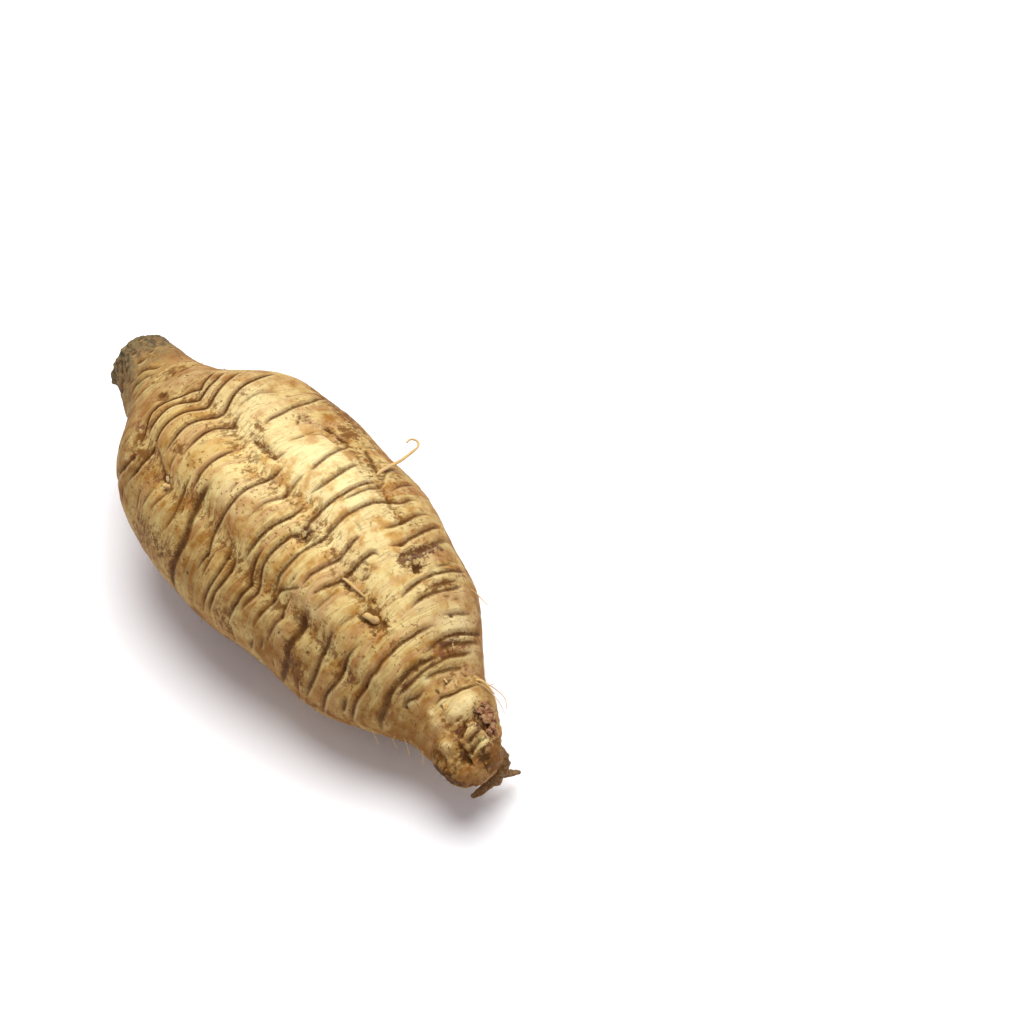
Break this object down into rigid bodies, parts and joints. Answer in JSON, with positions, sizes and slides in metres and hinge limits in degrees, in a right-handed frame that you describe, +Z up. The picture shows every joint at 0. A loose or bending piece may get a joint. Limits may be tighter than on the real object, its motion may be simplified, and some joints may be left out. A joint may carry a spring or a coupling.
{
  "type": "kudzu root",
  "caption": "Spindle-shaped starchy root with broken growth rings, a short cut neck and a knobbly hooked tip, lying on its side.",
  "frame": {"origin": "near the middle of the small flat spot on the underside that the root rests on", "axes": "+X along the root from the cut neck to the tip, +Z up as it lies, +Y across it"},
  "size_m": [0.2339, 0.104, 0.0965],
  "materials": {
    "kudzu_skin": "matt, earthy tan root skin with darker creases"
  },
  "bodies": {
    "root": {"kudzu_root": "kudzu_skin"}
  },
  "joints": []
}
